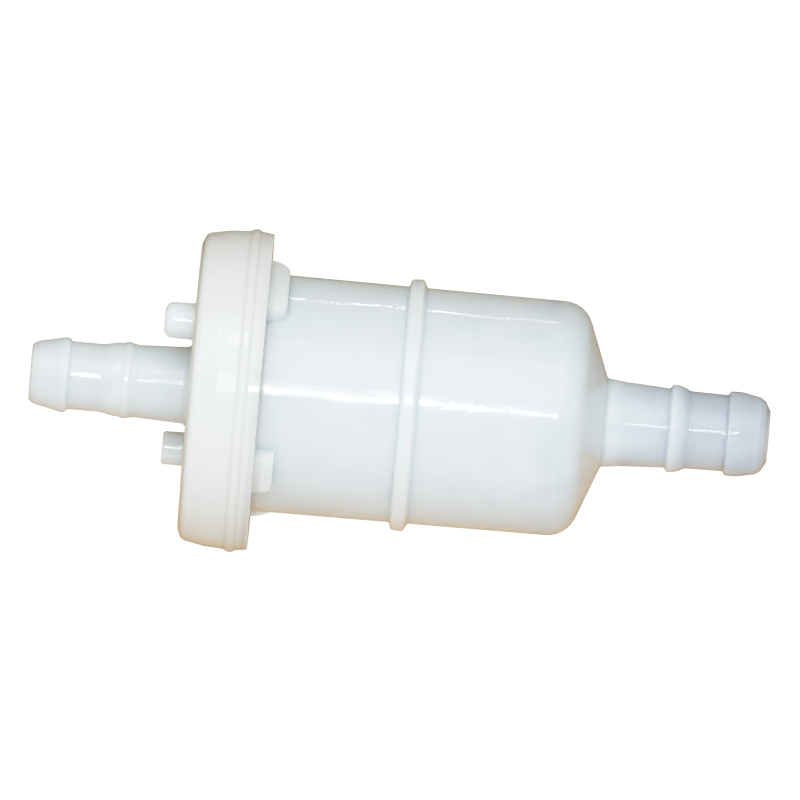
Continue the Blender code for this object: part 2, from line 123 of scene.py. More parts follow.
class FilterCaseSizes(bpy.types.PropertyGroup):
    """Sizes of the welded case."""

    body_radius: length_property("Body radius", "Outside of the bowl at the flange", 14.9)
    body_draft: length_property("Body draft", "How much the bowl narrows", 0.2)
    wall: length_property("Wall", "Wall thickness of the bowl", 2.0)
    bore: length_property("Bore", "Radius of the bore of both stems", 3.0)
    shoulder: length_property("Shoulder radius", "Rounding of the closed end", 3.8)
    cone: angle_property("End cone", "Slope of the closed end, from square to the axis", 21)
    rib_place: length_property("Rib place", "From the flange to the foot of the rib", 17.35)
    rib_width: length_property("Rib width", "Width of the rib at its foot", 2.35)
    rib_height: length_property("Rib height", "How far the rib stands out", 0.9)
    lug_length: length_property("Lug length", "How far the lugs run along the bowl", 2.5)
    lug_height: length_property("Lug height", "How far the lugs stand out", 2.3)
    facets: IntProperty(name="Facets", description="Steps round the case", default=336, min=48)


class FilterFinish(bpy.types.PropertyGroup):
    """Colours of the pieces."""

    # Thin nylon shows mostly on the inlet stem, where its darker tone is partly painted shade
    nylon_thin: colour_property("Thin nylon", "Milky nylon where the wall is thinnest", "#C4CBD3")
    nylon_wall: colour_property("Nylon wall", "Milky nylon as thick as the bowl", "#E1EAF0")
    nylon_thick: colour_property("Thick nylon", "Milky nylon where it is thick", "#E9EDEC")
    acetal: colour_property("Acetal", "Plates and tube of the element", "#ECE9DF")
    paper: colour_property("Paper", "Resin-treated filter paper", "#D9BC82")
    resin: colour_property("Resin", "Adhesive round the ends of the pleats", "#B98A48")
    rubber: colour_property("Rubber", "Gasket under the carrier", "#1B1B1D")
    tinplate: colour_property("Tinplate", "Clip on the seam of the paper", "#C9CBCD")


class FilterStudio(bpy.types.PropertyGroup):
    """Camera, lights and floor."""

    lens: FloatProperty(name="Lens", description="Focal length in millimetres", default=800)
    view_width: length_property("View width", "How much the camera sees across", 100)
    roll: angle_property("Roll", "How far the axis slopes down to the right", 5.06)
    floor: colour_property("Floor", "Pale floor", "#FDFDFD")
    front: colour_property("Front light", "Soft light from the camera's side", "#F8FCFF")
    back: colour_property("Back light", "Weaker light from behind and below", "#A89B88")
    low: colour_property("Low light", "Warm light reflected from below", "#E0BC90")


# --- Small helpers ---------------------------------------------------------------------------
def add(tree, kind, inputs=None, **settings):
    """Adds a node, sets its properties, and fills or links its inputs."""
    node = tree.nodes.new(kind)
    for name, value in settings.items():
        setattr(node, name, value)
    for key, value in (inputs or {}).items():
        if isinstance(value, bpy.types.NodeSocket):
            tree.links.new(value, node.inputs[key])
        else:
            node.inputs[key].default_value = value
    return node


def between(table, x):
    """Straight-line value at x from (x, value) pairs in rising order."""
    if x <= table[0][0]:
        return table[0][1]
    for (x0, v0), (x1, v1) in zip(table, table[1:]):
        if x <= x1:
            return v0 + (v1 - v0) * (x - x0) / (x1 - x0)
    return table[-1][1]


SUPPORT = 0.12  # how close to a corner's end a straight run gets its point
LONGEST_ROW = 2.5
WELD_DISTANCE = 0.0005 * MM  # points closer than this are one


def rounded(corners, steps=6):
    """Points (x, r) along an outline whose corners (x, r, rounding) are rounded off.

    Each straight run gets a point close to either end, so that smooth shading stays flat on it,
    and is split where it is long.
    """
    runs = []
    for k, (x, r, rounding) in enumerate(corners):
        here = Vector((x, r))
        if rounding == 0 or k in (0, len(corners) - 1):
            runs.append([here])
            continue
        back = Vector(corners[k - 1][:2]) - here
        ahead = Vector(corners[k + 1][:2]) - here
        half = back.angle(ahead) / 2
        # A rounding takes less than half of each run, so that it never meets the next one
        reach = min(rounding / math.tan(half), 0.48 * back.length, 0.48 * ahead.length)
        start = here + back.normalized() * reach
        end = here + ahead.normalized() * reach
        inward = (back.normalized() + ahead.normalized()).normalized()
        centre = here + inward * reach / math.cos(half)
        turn = (start - centre).angle_signed(end - centre)
        arc = []
        for i in range(steps + 1):
            arm = start - centre
            arm.rotate(Matrix.Rotation(-turn * i / steps, 2))
            arc.append(centre + arm)
        runs.append(arc)
    points = []
    for run, following in zip(runs, [*runs[1:], runs[0]]):
        points.extend(run)
        gap = following[0] - run[-1]
        if run is runs[-1] or gap.length < 3 * SUPPORT:
            continue
        inset = gap.normalized() * SUPPORT
        start, end = run[-1] + inset, following[0] - inset
        pieces = max(1, math.ceil((end - start).length / LONGEST_ROW))
        points.extend(start.lerp(end, i / pieces) for i in range(pieces + 1))
    return [tuple(p) for p in points]


def finished(name, mesh, sharp=40):
    """Makes a plain object of an evaluated mesh: doubles merged, normals out, smooth."""
    bm = bmesh.new()
    bm.from_mesh(mesh)
    bmesh.ops.remove_doubles(bm, verts=bm.verts, dist=WELD_DISTANCE)
    bmesh.ops.recalc_face_normals(bm, faces=bm.faces)
    bm.to_mesh(mesh)
    bm.free()
    mesh.shade_smooth()
    mesh.set_sharp_from_angle(angle=math.radians(sharp))
    piece = bpy.data.objects.new(name, mesh)
    bpy.context.scene.collection.objects.link(piece)
    return piece


def evaluated_mesh(source, name):
    """The mesh that an object's modifiers give. The object is removed."""
    graph = bpy.context.evaluated_depsgraph_get()
    mesh = bpy.data.meshes.new_from_object(source.evaluated_get(graph), depsgraph=graph)
    mesh.name = name
    bpy.data.objects.remove(source, do_unlink=True)
    return mesh


def grown(name, source, tree, values):
    """Runs a Geometry Nodes tree on a source object and keeps the result as a plain mesh."""
    modifier = source.modifiers.new(tree.name, "NODES")
    modifier.node_group = tree
    for item in tree.interface.items_tree:
        if item.item_type == "SOCKET" and item.in_out == "INPUT" and item.name in values:
            modifier[item.identifier] = values[item.name]
    return finished(name, evaluated_mesh(source, name))


def outline_object(outline, rises, walls):
    """An object whose points are an outline in order, closed, for the turning tree to read."""
    closed = [*outline, outline[0]]
    mesh = bpy.data.meshes.new("outline")
    mesh.from_pydata([(x * MM, r * MM, 0) for x, r in closed], [], [])
    for name, values in (("rise", rises), ("wall", walls)):
        layer = mesh.attributes.new(name, "FLOAT", "POINT")
        layer.data.foreach_set("value", [*values, values[0]])
    source = bpy.data.objects.new("outline", mesh)
    bpy.context.scene.collection.objects.link(source)
    return source


def placed(piece, node):
    """Puts a piece on the part's one body, in the place of a node."""
    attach(piece, "root")
    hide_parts(node)


# --- Geometry Nodes: a turned body, with lugs raised on part of its turn ---------------------
# Each lug: (middle, width, rounding of its corners), in degrees, degrees and millimetres
LUGS = ((56.0, 38.0, 2.2), (141.5, 20.0, 0.6), (225.0, 42.0, 0.6), (321.5, 20.0, 0.6))
LUG_SOFTNESS = 0.13  # half the width of a lug's sloping edge
LUG_MIDDLE_RADIUS = 16.5  # where the lugs' corners are round
LUG_WALL_SHARE = 2.5  # how far a lug stands out for each unit added to the wall attribute
NO_LUGS = -1000.0  # an end for the lugs far outside the part


def turning_tree():
    """Wraps a grid round the X axis: its rows follow the outline, its columns the turn.

    Where a lug lies, the outline's points move out by their own rise attribute. A lug is a
    rounded rectangle in the plane of X and the distance round the body.
    """
    tree = bpy.data.node_groups.new("Turned body", "GeometryNodeTree")
    face = tree.interface
    face.new_socket("Geometry", in_out="INPUT", socket_type="NodeSocketGeometry")
    face.new_socket("Steps", in_out="INPUT", socket_type="NodeSocketInt")
    names = ["Lug end", "Lug radius", "Lug softness"]
    for k in range(len(LUGS)):
        names += [f"Lug {k + 1} middle", f"Lug {k + 1} width", f"Lug {k + 1} corner"]
    for name in names:
        face.new_socket(name, in_out="INPUT", socket_type="NodeSocketFloat")
    face.new_socket("Material", in_out="INPUT", socket_type="NodeSocketMaterial")
    face.new_socket("Geometry", in_out="OUTPUT", socket_type="NodeSocketGeometry")
    given = add(tree, "NodeGroupInput").outputs

    def whole(operation, *values):
        inputs = dict(enumerate(values))
        return add(tree, "FunctionNodeIntegerMath", inputs, operation=operation).outputs[0]

    def number(operation, *values):
        inputs = dict(enumerate(values))
        return add(tree, "ShaderNodeMath", inputs, operation=operation).outputs[0]

    def sampled(kind, value):
        inputs = {"Geometry": given["Geometry"], "Value": value, "Index": row}
        return add(tree, "GeometryNodeSampleIndex", inputs, data_type=kind).outputs[0]

    def own(name):
        inputs = {"Name": name}
        node = add(tree, "GeometryNodeInputNamedAttribute", inputs, data_type="FLOAT")
        return node.outputs["Attribute"]

    index = add(tree, "GeometryNodeInputIndex").outputs[0]
    size = add(tree, "GeometryNodeAttributeDomainSize", {"Geometry": given["Geometry"]})
    columns = whole("ADD", given["Steps"], 1)
    row = whole("DIVIDE_FLOOR", index, columns)
    column = whole("MODULO", index, columns)
    counts = {"Vertices X": size.outputs["Point Count"], "Vertices Y": columns}
    grid = add(tree, "GeometryNodeMeshGrid", counts).outputs["Mesh"]

    position = add(tree, "GeometryNodeInputPosition").outputs[0]
    place = add(tree, "ShaderNodeSeparateXYZ", {0: sampled("FLOAT_VECTOR", position)}).outputs
    rise = sampled("FLOAT", own("rise"))
    wall = sampled("FLOAT", own("wall"))
    turn = number("MULTIPLY", number("DIVIDE", column, given["Steps"]), 2 * math.pi)

    raised = 0.0
    past_end = number("SUBTRACT", place["X"], given["Lug end"])
    for k in range(len(LUGS)):
        corner = given[f"Lug {k + 1} corner"]
        off = number("SUBTRACT", turn, given[f"Lug {k + 1} middle"])
        off = number("ABSOLUTE", number("WRAP", off, math.pi, -math.pi))
        past_side = number("SUBTRACT", off, number("MULTIPLY", given[f"Lug {k + 1} width"], 0.5))
        past_side = number("MULTIPLY", past_side, given["Lug radius"])
        along = number("MAXIMUM", number("ADD", past_end, corner), 0.0)
        across = number("MAXIMUM", number("ADD", past_side, corner), 0.0)
        squares = number("ADD", number("POWER", along, 2.0), number("POWER", across, 2.0))
        outside = number("SUBTRACT", number("SQRT", squares), corner)
        edge = {
            "Value": outside,
            "From Min": given["Lug softness"],
            "From Max": number("MULTIPLY", given["Lug softness"], -1.0),
        }
        inside = add(tree, "ShaderNodeMapRange", edge, interpolation_type="SMOOTHSTEP").outputs[0]
        raised = number("MAXIMUM", raised, inside)

    lift = number("MULTIPLY", rise, raised)
    radius = number("ADD", place["Y"], lift)
    toward = number("MULTIPLY", radius, number("MULTIPLY", number("COSINE", turn), -1.0))
    up = number("MULTIPLY", radius, number("SINE", turn))
    wrapped = add(tree, "ShaderNodeCombineXYZ", {0: place["X"], 1: toward, 2: up}).outputs[0]
    moved = add(tree, "GeometryNodeSetPosition", {"Geometry": grid, "Position": wrapped})
    thick = {
        "Geometry": moved.outputs[0],
        "Name": "wall",
        "Value": number("ADD", wall, number("DIVIDE", lift, LUG_WALL_SHARE * MM)),
    }
    stored = add(tree, "GeometryNodeStoreNamedAttribute", thick, data_type="FLOAT", domain="POINT")
    near = {"Geometry": stored.outputs[0], "Distance": WELD_DISTANCE}
    merged = add(tree, "GeometryNodeMergeByDistance", near)
    real = add(tree, "GeometryNodeRealizeInstances", {"Geometry": merged.outputs[0]})
    paint = {"Geometry": real.outputs[0], "Material": given["Material"]}
    painted = add(tree, "GeometryNodeSetMaterial", paint)
    add(tree, "NodeGroupOutput", {"Geometry": painted.outputs[0]})
    return tree


def turned(name, outline, walls, steps, material, rises=None, lug_end=NO_LUGS):
    """A turned body from an outline in millimetres; walls gives thickness along X, for colour."""
    values = {"Steps": steps, "Material": material, "Lug softness": LUG_SOFTNESS * MM}
    values["Lug end"] = lug_end * MM
    values["Lug radius"] = LUG_MIDDLE_RADIUS * MM
    for k, (middle, width, corner) in enumerate(LUGS):
        values[f"Lug {k + 1} middle"] = math.radians(middle)
        values[f"Lug {k + 1} width"] = math.radians(width)
        values[f"Lug {k + 1} corner"] = corner * MM
    tree = bpy.data.node_groups.get("Turned body") or turning_tree()
    rises = rises or [0.0] * len(outline)
    thickness = [between(walls, x) for x, r in outline]
    source = outline_object(outline, [rise * MM for rise in rises], thickness)
    return grown(name, source, tree, values)


# --- Outlines: (x, r, rounding) in millimetres -----------------------------------------------
def housing_corners(case):
    """From the inlet's tip along the outside to the flange, and back along the inside."""
    radius = case.body_radius / MM
    end_radius = (case.body_radius - case.body_draft) / MM
    wall = case.wall / MM
    bore = case.bore / MM
    slope = math.tan(case.cone)
    foot = 5.55
    cone_top = INLET_FOOT - (end_radius - foot) * slope
    inner_foot = INLET_FOOT - wall / math.cos(case.cone)
    rib = FLANGE_REAR + case.rib_place / MM
    rib_end = rib + case.rib_width / MM
    rib_top = radius + case.rib_height / MM
    end = INLET_END
    return [
        (end, bore, 0),
        (end, 3.2, 0.12),
        (end - 0.62, 4.35, 0.5),
        (end - 1.3, 4.86, 0.8),
        (end - 2.2, 5.02, 1.0),
        (end - 3.1, 5.22, 1.0),
        (end - 3.9, 5.32, 0.6),
        (end - 5.1, 5.3, 0.22),
        (end - 5.42, 4.8, 0.2),
        (end - 10.1, 4.87, 0.5),
        (end - 10.9, 5.27, 0.35),
        (end - 11.75, 5.5, 0.4),
        (end - 12.35, 5.5, 0.18),
        (end - 12.75, 4.98, 0.25),
        (end - 15.0, 5.12, 0),
        (end - 18.2, 5.3, 1.5),
        (INLET_FOOT + 0.6, 5.52, 0.5),
        (INLET_FOOT, foot, 0.9),
        (cone_top, end_radius, case.shoulder / MM),
        (rib_end, radius - 0.1, 0.2),
        (rib_end - 0.55, rib_top + 0.04, 0.5),
        (rib + 0.25, rib_top - 0.08, 0.4),
        (rib, radius - 0.09, 0.15),
        (FLANGE_REAR, radius, 0.3),
        (FLANGE_REAR, FLANGE_RADIUS - 0.2, 0.08),
        (FLANGE_FRONT, FLANGE_RADIUS, 0.1),
        (FLANGE_FRONT, radius - wall, 0),
        (inner_foot - (end_radius - wall - foot) * slope, end_radius - wall, 1.8),
        (inner_foot + (foot - bore) * slope, bore, 0.3),
    ]


# How thick the nylon looks along the housing and the cap: (place, thickness) in millimetres.
# Along the housing the values fall below its real wall towards the inlet's tip, so that end is
# painted darker and bluer: painted shade for the light that falls off towards the inlet.
HOUSING_WALLS_AND_SHADE = (
    (-18.9, 5.2), (-18.3, 5.2), (-17.4, 3.6), (-15.5, 2.2), (-14.0, 2.0), (-1.0, 2.0),
    (0.2, 2.5), (2.1, 2.5), (3.3, 2.0), (16.0, 1.9), (20.5, 1.75), (23.0, 1.9), (24.6, 2.3),
    (26.2, 2.0), (28.5, 1.6), (33.0, 1.5), (34.3, 1.7), (36.0, 1.4), (41.0, 1.3), (46.3, 1.2),
)  # fmt: skip
CAP_WALLS = (
    (-46.3, 1.8), (-43.0, 1.85), (-36.0, 1.95), (-34.3, 2.1), (-30.0, 2.1), (-27.6, 2.3),
    (-26.4, 3.8), (-25.6, 5.0), (-20.1, 5.4),
)  # fmt: skip
BEAD_WALLS = ((BEAD_START, 5.2), (BEAD_END, 5.2))

# How far the lugs stand out along X, as a share of their height
LUG_SLOPE = ((0.0, 1.0), (0.4, 0.93), (0.84, 0.78), (0.94, 0.72), (0.985, 0.6), (1.0, 0.0))
LUG_ROWS = 12
LUG_FOOT = 0.5  # rows start past the fillet at the flange's foot
ON_BODY = 0.1  # a point this close to the body's radius is on the body


def housing_outline(case):
    """The housing's outline and how far each of its points rises in a lug."""
    length = case.lug_length / MM
    height = case.lug_height / MM
    radius = case.body_radius / MM
    lug_end = FLANGE_REAR + length
    marks = [share * length for share, _ in LUG_SLOPE[1:] if share * length > LUG_FOOT]
    marks += [LUG_FOOT + (length - LUG_FOOT) * k / LUG_ROWS for k in range(LUG_ROWS)]
    outline = []
    for x, r in rounded(housing_corners(case)):
        on_body = abs(r - radius) < ON_BODY
        if outline and outline[-1][0] > lug_end > x and on_body:
            outline.extend((FLANGE_REAR + mark, radius) for mark in sorted(marks, reverse=True))
        elif FLANGE_REAR + LUG_FOOT < x < lug_end and on_body:
            continue
        outline.append((x, r))
    rises = []
    for x, r in outline:
        if not radius - 0.5 < r < radius + height or not FLANGE_REAR - 0.01 < x < lug_end:
            rises.append(0.0)
        elif x < FLANGE_REAR + 0.01:
            rises.append(radius + height - r)
        else:
            rises.append(height * between(LUG_SLOPE, (x - FLANGE_REAR) / length) + radius - r)
    return outline, rises


def cap_corners(case):
    """From the outlet's tip along the outside to the rim, and back along the inside."""
    bore = case.bore / MM
    end = OUTLET_END
    face = CAP_FACE
    return [
        (end, bore, 0),
        (end, 3.42, 0.12),
        (end + 0.3, 3.75, 0.3),
        (end + 1.1, 4.07, 0.5),
        (end + 2.1, 4.26, 0.8),
        (end + 3.2, 4.5, 0.8),
        (end + 4.1, 4.73, 0.9),
        (end + 4.68, 4.64, 0.2),
        (end + 4.95, 4.28, 0.25),
        (end + 8.9, 4.26, 0.8),
        (end + 10.6, 4.6, 0.5),
        (end + 11.4, 4.66, 0.4),
        (end + 11.9, 4.8, 0.3),
        (end + 12.3, 4.8, 0.3),
        (end + 12.7, 4.66, 0.3),
        (end + 13.4, 4.55, 1.0),
        (face - 4.0, 4.66, 1.5),
        (face, 4.86, 0.85),
        (face, 17.9, 1.0),
        (face + 0.45, 19.05, 0.8),
        (face + 1.0, 19.34, 0.8),
        (face + 3.4, 19.8, 3.0),
        (CAP_RIM, 20.0, 0.1),
        (CAP_RIM, 17.2, 0.1),
        (CAP_RIM - 2.0, 17.2, 0),
        (CAP_RIM - 2.0, 14.6, 0.1),
        (face + 2.2, 14.6, 0.3),
        (face + 2.2, bore, 0.3),
    ]


def bead_corners():
    """A lens-shaped ring that laps a little over both halves, as melted nylon does."""
    return [
        (BEAD_START - 0.1, 17.25, 0),
        (BEAD_START - 0.1, 19.8, 0),
        (BEAD_START - 0.55, 19.9, 0),
        (BEAD_START + 0.05, BEAD_RADIUS - 0.07, 0.6),
        (BEAD_END - 0.35, BEAD_RADIUS + 0.01, 0.3),
        (BEAD_END + 0.3, 19.87, 0),
        (BEAD_END, 19.8, 0),
        (BEAD_END, 17.25, 0),
    ]


# Each peg: angle round the axis in degrees, radius, length and rounding of its end in mm
PEG_PITCH_RADIUS = 11.3
PEGS = ((45.0, 2.28, 3.75, 1.4), (225.0, 2.12, 2.9, 0.35))
PEG_ROOT = 0.9  # how deep a peg reaches into the cap, so that the union is sound
PEG_FACETS = 72
PEG_WALLS = ((CAP_FACE - 3.75, 2.2), (CAP_FACE - 1.0, 2.5), (CAP_FACE, 3.95))


def peg_corners(radius, length, rounding):
    """A round peg about the X axis, with a small fillet at its foot."""
    return [
        (CAP_FACE + PEG_ROOT, 0, 0),
        (CAP_FACE + PEG_ROOT, radius + 0.1, 0),
        (CAP_FACE - 0.05, radius + 0.1, 0),
        (CAP_FACE - 0.35, radius, 0.3),
        (CAP_FACE - length, radius - 0.03, rounding),
        (CAP_FACE - length, 0, 0),
    ]


def mark_walls(mesh):
    """Writes the cap's wall attribute anew, since a union leaves it empty where skins meet."""
    for vertex, mark in zip(mesh.vertices, mesh.attributes["wall"].data):
        x, y, z = vertex.co / MM
        on_peg = x < CAP_FACE - 0.01 and math.hypot(y, z) > PEG_PITCH_RADIUS / 2
        mark.value = between(PEG_WALLS if on_peg else CAP_WALLS, x)


# --- The element: a ring of pleats and a ring of windows -------------------------------------
# The tube: columns of windows, with bars between the columns and hoops between the windows
TUBE_RADIUS = TUBE_HIGH.z / MM
TUBE_WALL = 0.7
TUBE_COLUMNS = 6
TUBE_WINDOWS = 5
HOOP_LENGTH = 1.2
BAR_TURN = 24.0
WINDOW_ROUNDING = 0.7
WINDOW_STEPS = 6
# The paper: it stands a little off the tube; the fold's radius is that of the paper's middle
PLEATS = 26
PLEAT_TIP = PAPER_HIGH.y / MM
PLEAT_ROOT = TUBE_RADIUS + 0.3
PAPER_THICKNESS = 0.4
FOLD_RADIUS = 0.35
FOLD_STEPS = 5
# Grooves pressed across the pleats: how many, how many rows of faces in each, and their depth
GROOVES = 12
GROOVE_ROWS = 4
GROOVE_DEPTH = 0.03
# Points closer than this are one, when the copies of a unit are joined
UNIT_JOIN = 0.002 * MM
SAME_PLACE = 1e-6


def ring_tree():
    """Sets copies of a unit in a ring round the X axis and joins them where they meet."""
    tree = bpy.data.node_groups.new("Ring of copies", "GeometryNodeTree")
    face = tree.interface
    face.new_socket("Geometry", in_out="INPUT", socket_type="NodeSocketGeometry")
    face.new_socket("Copies", in_out="INPUT", socket_type="NodeSocketInt")
    face.new_socket("Joining distance", in_out="INPUT", socket_type="NodeSocketFloat")
    face.new_socket("Material", in_out="INPUT", socket_type="NodeSocketMaterial")
    face.new_socket("Geometry", in_out="OUTPUT", socket_type="NodeSocketGeometry")
    given = add(tree, "NodeGroupInput").outputs
    points = add(tree, "GeometryNodePoints", {"Count": given["Copies"]})
    index = add(tree, "GeometryNodeInputIndex").outputs[0]
    share = {0: index, 1: given["Copies"]}
    share = add(tree, "ShaderNodeMath", share, operation="DIVIDE").outputs[0]
    angle = {0: share, 1: 2 * math.pi}
    angle = add(tree, "ShaderNodeMath", angle, operation="MULTIPLY").outputs[0]
    turn = add(tree, "ShaderNodeCombineXYZ", {0: angle}).outputs[0]
    ring = {"Points": points.outputs[0], "Instance": given["Geometry"], "Rotation": turn}
    ring = add(tree, "GeometryNodeInstanceOnPoints", ring)
    real = add(tree, "GeometryNodeRealizeInstances", {"Geometry": ring.outputs[0]})
    near = {"Geometry": real.outputs[0], "Distance": given["Joining distance"]}
    joined = add(tree, "GeometryNodeMergeByDistance", near)
    paint = {"Geometry": joined.outputs[0], "Material": given["Material"]}
    painted = add(tree, "GeometryNodeSetMaterial", paint)
    add(tree, "NodeGroupOutput", {"Geometry": painted.outputs[0]})
    return tree


def ring_of(name, bm, copies, material):
    """A ring of copies of the unit in bm, as one plain mesh."""
    mesh = bpy.data.meshes.new(name + " unit")
    bm.to_mesh(mesh)
    bm.free()
    source = bpy.data.objects.new(name + " unit", mesh)
    bpy.context.scene.collection.objects.link(source)
    tree = bpy.data.node_groups.get("Ring of copies") or ring_tree()
    values = {"Copies": copies, "Joining distance": UNIT_JOIN, "Material": material}
    return grown(name, source, tree, values)


def pleat_path():
    """Points and normals, in millimetres, along the middle of the paper over one pleat."""
    half_turn = math.pi / PLEATS
    bend = FOLD_RADIUS + PAPER_THICKNESS / 2
    tip = Vector((PLEAT_TIP - bend, 0))
    root = Vector((math.cos(half_turn), math.sin(half_turn))) * (PLEAT_ROOT + bend)
    step = root - tip
    leg = math.atan2(step.y, step.x) + math.asin(2 * FOLD_RADIUS / step.length)
    square = math.pi / 2
    half = []
    for centre, start, end, side in ((tip, square, leg, 1), (root, leg, square + half_turn, -1)):
        for i in range(FOLD_STEPS + 1):
            heading = start + (end - start) * i / FOLD_STEPS
            normal = Vector((math.sin(heading), -math.cos(heading)))
            half.append((centre + normal * FOLD_RADIUS * side, normal))
    other = [(Vector((p.x, -p.y)), Vector((n.x, -n.y))) for p, n in reversed(half[1:])]
    return other + half


def pleat_unit():
    """One pleat of paper of real thickness, with the fine grooves pressed across its length."""
    bm = bmesh.new()
    path = pleat_path()
    start, end = PAPER_LOW.x / MM, PAPER_HIGH.x / MM
    rows = GROOVES * GROOVE_ROWS
    sheets = []
    for side in (1, -1):
        sheet = []
        for i in range(rows + 1):
            x = start + (end - start) * i / rows
            wave = -GROOVE_DEPTH * (1 - math.cos(2 * math.pi * i / GROOVE_ROWS)) / 2
            row = []
            for point, normal in path:
                y, z = point + normal * (side * PAPER_THICKNESS / 2 + wave)
                row.append(bm.verts.new((x * MM, y * MM, z * MM)))
            sheet.append(row)
        sheets.append(sheet)
    outer, inner = sheets
    bands = [*zip(outer, outer[1:]), *zip(inner, inner[1:])]
    bands += [(outer[0], inner[0]), (outer[-1], inner[-1])]
    for first, second in bands:
        for i in range(len(path) - 1):
            bm.faces.new((first[i], first[i + 1], second[i + 1], second[i]))
    return bm


def window_loops(middle, half_length):
    """A window's edge and the edge of the cell round it, as matching (x, turn) points in mm."""
    half_turn = math.radians(180 / TUBE_COLUMNS)
    reach = (half_turn - math.radians(BAR_TURN / 2)) * TUBE_RADIUS
    cell_x, cell_y = half_length + HOOP_LENGTH / 2, half_turn * TUBE_RADIUS
    window, edge = [], []
    for sx, sy, first in ((1, 1, 0), (-1, 1, 90), (-1, -1, 180), (1, -1, 270)):
        centre = (half_length - WINDOW_ROUNDING, reach - WINDOW_ROUNDING)
        centre = Vector((sx * centre[0], sy * centre[1]))
        for i in range(WINDOW_STEPS + 1):
            angle = math.radians(first + 90 * i / WINDOW_STEPS)
            point = centre + Vector((math.cos(angle), math.sin(angle))) * WINDOW_ROUNDING
            window.append(point)
            if i * 2 == WINDOW_STEPS:
                edge.append(Vector((sx * cell_x, sy * cell_y)))
            elif (i * 2 < WINDOW_STEPS) == (first in (0, 180)):
                edge.append(Vector((sx * cell_x, point.y * cell_y / reach)))
            else:
                edge.append(Vector((point.x * cell_x / half_length, sy * cell_y)))
    return [[(middle + p.x, p.y / TUBE_RADIUS) for p in loop] for loop in (window, edge)]


def tube_unit():
    """One column of windows in the wall of the tube, with half a bar on either side."""
    bm = bmesh.new()
    start, end = TUBE_LOW.x / MM, TUBE_HIGH.x / MM
    pitch = (end - start - HOOP_LENGTH) / TUBE_WINDOWS
    centre_turn = math.radians(180 / TUBE_COLUMNS)

    def corner(x, turn, radius):
        angle = centre_turn + turn
        place = (x, -radius * math.cos(angle), radius * math.sin(angle))
        return bm.verts.new(Vector(place) * MM)

    def band(first, second, closed=False):
        for i in range(len(first) if closed else len(first) - 1):
            j = (i + 1) % len(first)
            bm.faces.new((first[i], first[j], second[j], second[i]))

    radii = (TUBE_RADIUS, TUBE_RADIUS - TUBE_WALL)
    for k in range(TUBE_WINDOWS):
        middle = start + HOOP_LENGTH / 2 + pitch * (k + 0.5)
        window, edge = window_loops(middle, (pitch - HOOP_LENGTH) / 2)
        holes = [[corner(x, turn, radius) for x, turn in window] for radius in radii]
        edges = [[corner(x, turn, radius) for x, turn in edge] for radius in radii]
        for hole, rim in zip(holes, edges):
            band(hole, rim, closed=True)
        band(holes[0], holes[1], closed=True)
        for last, side, tip in ((0, -1, start), (TUBE_WINDOWS - 1, 1, end)):
            if k != last:
                continue
            x_edge = middle + side * pitch / 2
            turns = sorted({turn for x, turn in edge if abs(x - x_edge) < SAME_PLACE})
            rows = [(x_edge, radii[0]), (tip, radii[0]), (tip, radii[1]), (x_edge, radii[1])]
            rows = [[corner(x, turn, radius) for turn in turns] for x, radius in rows]
            for first, second in zip(rows, rows[1:]):
                band(first, second)
    bmesh.ops.remove_doubles(bm, verts=bm.verts, dist=UNIT_JOIN)
    return bm


# --- Materials -------------------------------------------------------------------------------
def new_material(name):
    """A material with one shader, and the piece's own coordinates to draw patterns with."""
    material = bpy.data.materials.new(name)
    material.use_nodes = True
    tree = material.node_tree
    tree.nodes.clear()
    shader = add(tree, "ShaderNodeBsdfPrincipled")
    add(tree, "ShaderNodeOutputMaterial", {"Surface": shader.outputs[0]})
    coordinates = add(tree, "ShaderNodeTexCoord").outputs["Object"]
    return material, tree, shader, coordinates


def noise(tree, coordinates, size, detail=2.0):
    """Noise whose lumps are about size millimetres across."""
    inputs = {
        "Vector": coordinates,
        "Scale": 1 / (size * MM),
        "Detail": detail,
    }
    return add(tree, "ShaderNodeTexNoise", inputs).outputs["Fac"]


def ranged(tree, value, low, high, to_low, to_high):
    """A value carried from one range to another, and kept inside it."""
    inputs = {
        "Value": value, "From Min": low, "From Max": high, "To Min": to_low, "To Max": to_high,
    }  # fmt: skip
    return add(tree, "ShaderNodeMapRange", inputs).outputs[0]


def blended(tree, factor, first, second):
    """A mix of two colours, each given as a socket or as linear values."""
    node = add(tree, "ShaderNodeMix", {"Factor": factor}, data_type="RGBA")
    for key, value in ((6, first), (7, second)):
        if isinstance(value, bpy.types.NodeSocket):
            tree.links.new(value, node.inputs[key])
        else:
            node.inputs[key].default_value = (*value, 1)
    return node.outputs[2]


